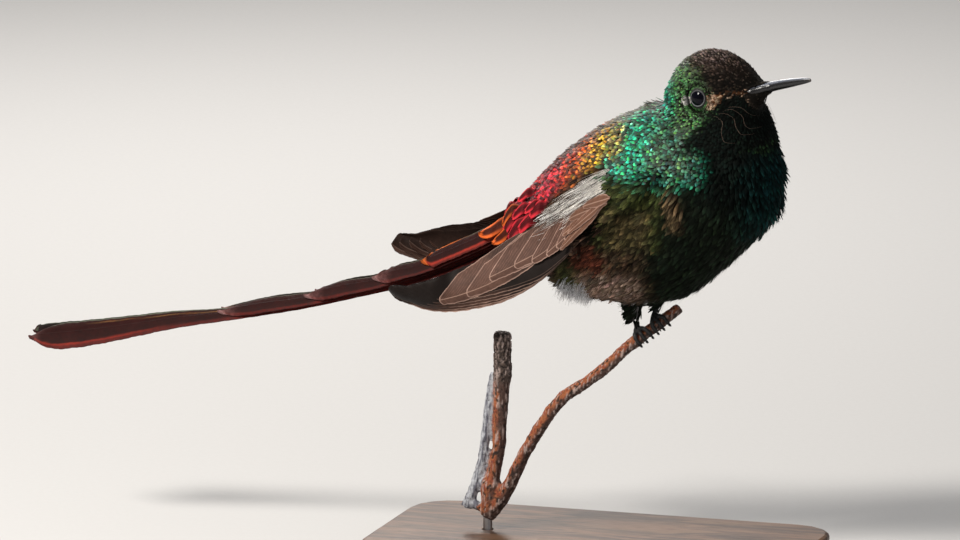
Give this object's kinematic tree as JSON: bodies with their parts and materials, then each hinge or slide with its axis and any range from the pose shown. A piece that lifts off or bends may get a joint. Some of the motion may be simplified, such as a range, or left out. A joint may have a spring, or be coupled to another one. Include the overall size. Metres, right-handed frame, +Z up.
{
  "type": "hummingbird",
  "caption": "Life-size hummingbird with a long forked tail, perched on a cut forked twig that a short rod holds over a flat wooden base",
  "frame": {"origin": "middle of the stand base's flat underside", "axes": "+Z up, +X the way the bird faces, +Y towards its left side; lengths in metres"},
  "size_m": [0.1754, 0.05, 0.1112],
  "materials": {
    "crown_green": "fine overlapping feathers, green sheen",
    "throat_green": "scale-like feathers, dark teal sheen",
    "belly_olive": "soft matte down",
    "rump_crimson": "scale-like feathers, crimson sheen",
    "wing_brown": "matte flight feathers",
    "tail_maroon": "glossy feathers with glowing edges",
    "bill_black": "satin horn",
    "eye_black": "polished",
    "foot_black": "fine scaled skin",
    "bark": "rough bark",
    "grey_wood": "weathered bare wood",
    "base_wood": "dark polished wood",
    "rod_steel": "satin"
  },
  "bodies": {
    "root": {"bill_lower": "bill_black", "bill_upper": "bill_black", "claw_left_1": "foot_black", "claw_left_2": "foot_black", "claw_left_3": "foot_black", "claw_left_4": "foot_black", "claw_right_1": "foot_black", "claw_right_2": "foot_black", "claw_right_3": "foot_black", "claw_right_4": "foot_black", "eye_left": "eye_black", "eye_right": "eye_black", "foot_left": "foot_black", "foot_right": "foot_black", "head": "crown_green", "neck": "throat_green", "perch_branch": "bark", "perch_grey_stem": "grey_wood", "perch_stub": "bark", "stand_base": "base_wood", "stand_rod": "rod_steel", "tail_left_r1": "tail_maroon", "tail_left_r2": "tail_maroon", "tail_left_r3": "tail_maroon", "tail_left_r4": "tail_maroon", "tail_left_r5": "tail_maroon", "tail_right_r1": "tail_maroon", "tail_right_r2": "tail_maroon", "tail_right_r3": "tail_maroon", "tail_right_r4": "tail_maroon", "tail_right_r5": "tail_maroon", "thigh_left": "belly_olive", "thigh_right": "belly_olive", "trunk_breast": "throat_green", "trunk_rump": "rump_crimson", "undertail_coverts": "belly_olive", "uppertail_coverts": "rump_crimson", "wing_left_coverts": "wing_brown", "wing_left_primaries": "wing_brown", "wing_left_secondaries": "wing_brown", "wing_right_coverts": "wing_brown", "wing_right_primaries": "wing_brown", "wing_right_secondaries": "wing_brown"}
  },
  "joints": []
}
